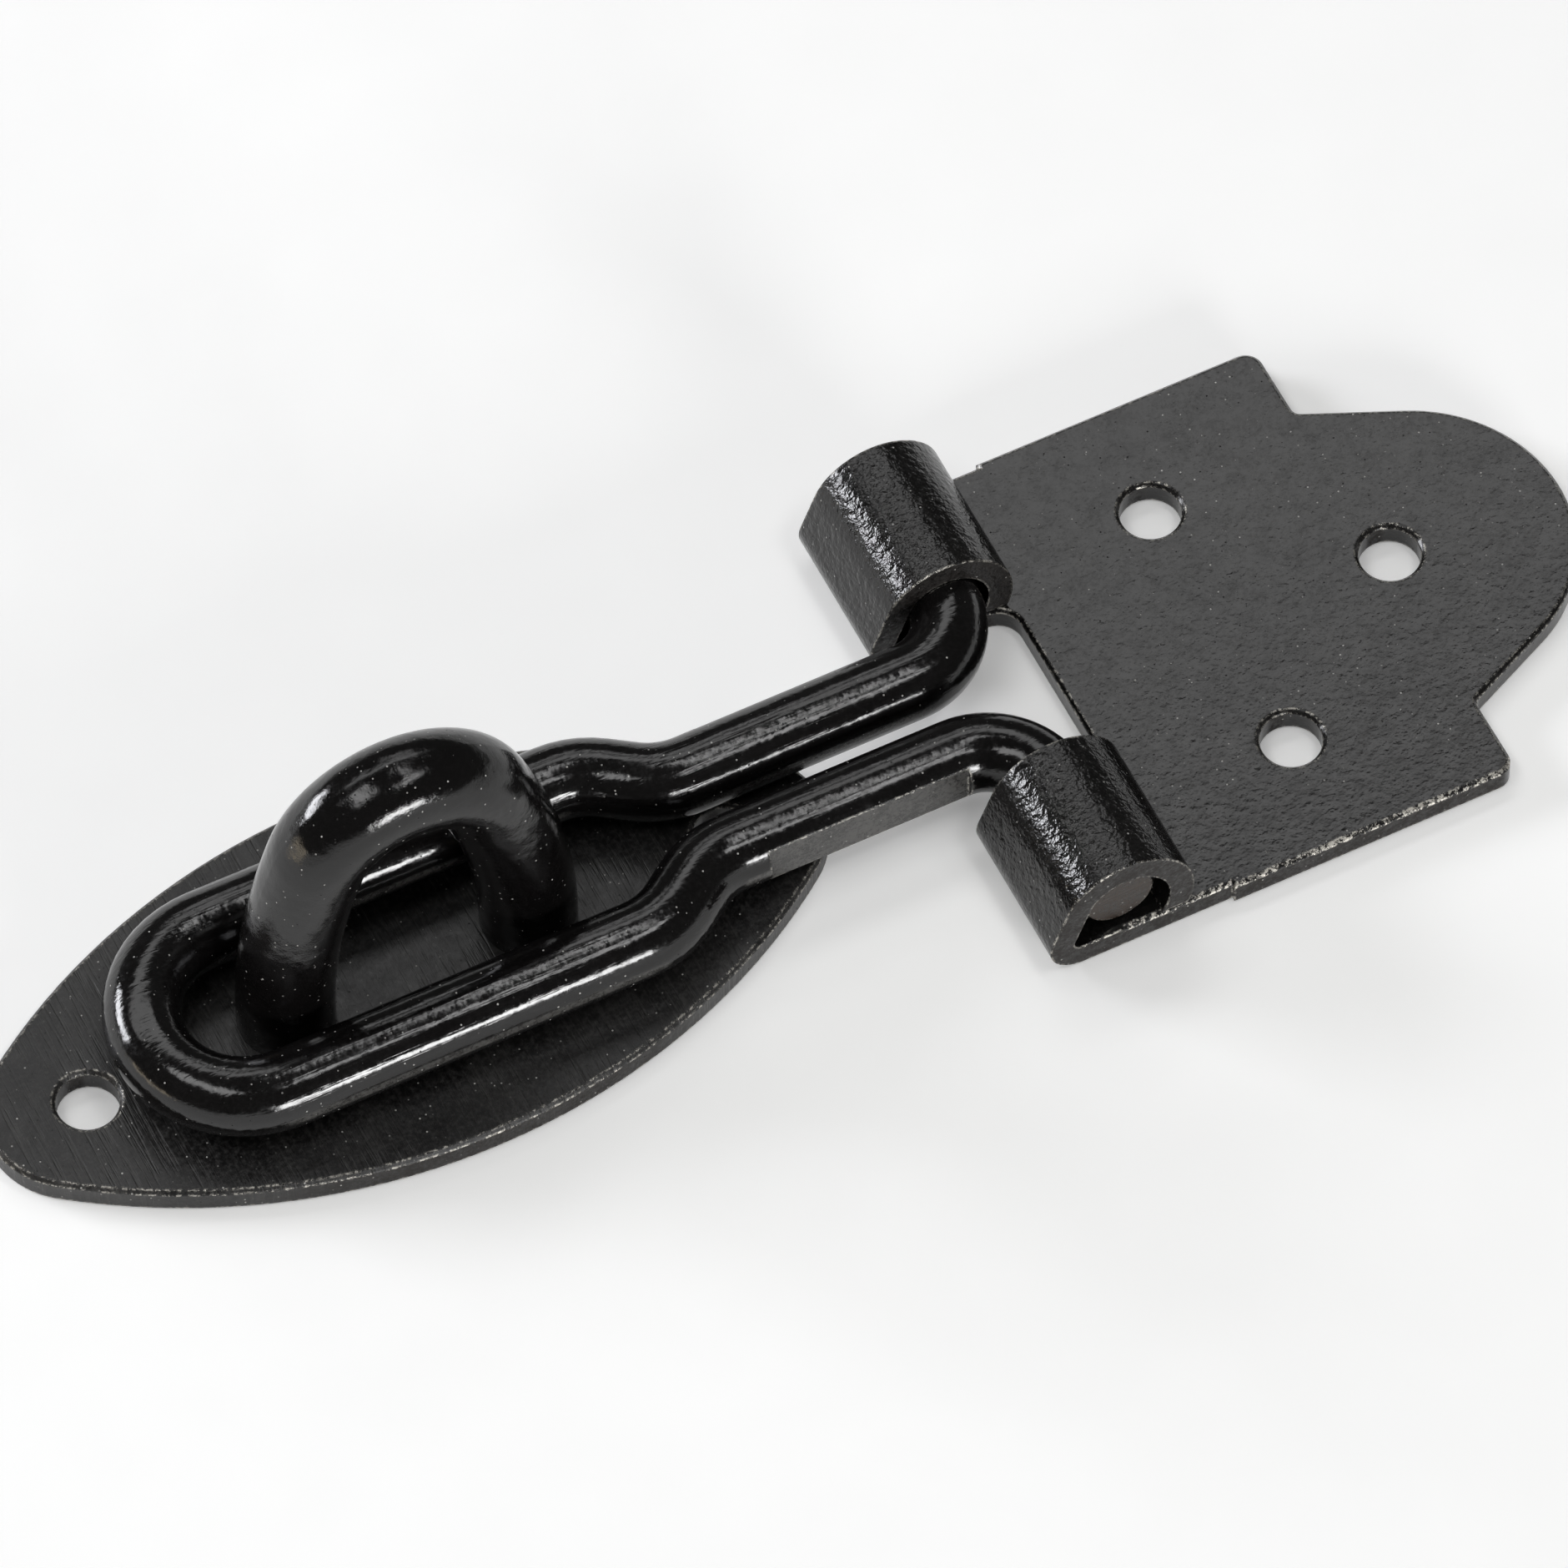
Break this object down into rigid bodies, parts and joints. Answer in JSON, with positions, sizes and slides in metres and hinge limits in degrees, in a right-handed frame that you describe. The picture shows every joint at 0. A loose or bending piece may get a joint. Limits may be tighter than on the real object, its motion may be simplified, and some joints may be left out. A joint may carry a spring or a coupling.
{
  "type": "wire hasp and staple",
  "caption": "Wire hasp: a bent round-bar link hinged in rolled knuckles of a screw-on plate drops over a padlock staple riveted to a pointed oval plate.",
  "frame": {"origin": "middle of the staple plate's underside, on the surface that the hasp is screwed to", "axes": "+X along the hasp from the staple to the hinge plate, +Y along the link's hinge axis, +Z out of the surface it is screwed to"},
  "size_m": [0.1314, 0.043, 0.0298],
  "materials": {
    "plate_coat": "satin black powder coat on pressed steel",
    "base_coat": "satin black coat, lightly scuffed",
    "link_coat": "gloss black coat on round bar",
    "staple_coat": "gloss black coat on round bar"
  },
  "bodies": {
    "staple_base": {"staple_plate": "base_coat", "staple": "staple_coat"},
    "hinge_leaf": {"hinge_plate": "plate_coat"},
    "link": {"wire_link": "link_coat"}
  },
  "joints": [
    {"name": "leaf_lift", "type": "slide", "parent": "staple_base", "child": "hinge_leaf", "axis": [0, 0, 1], "range_m": [0, 0.04]},
    {"name": "link_swing", "type": "hinge", "parent": "hinge_leaf", "child": "link", "pos_m": [0.0492, 0, 0.0054], "axis": [0, 1, 0], "range_deg": [0, 180]}
  ]
}
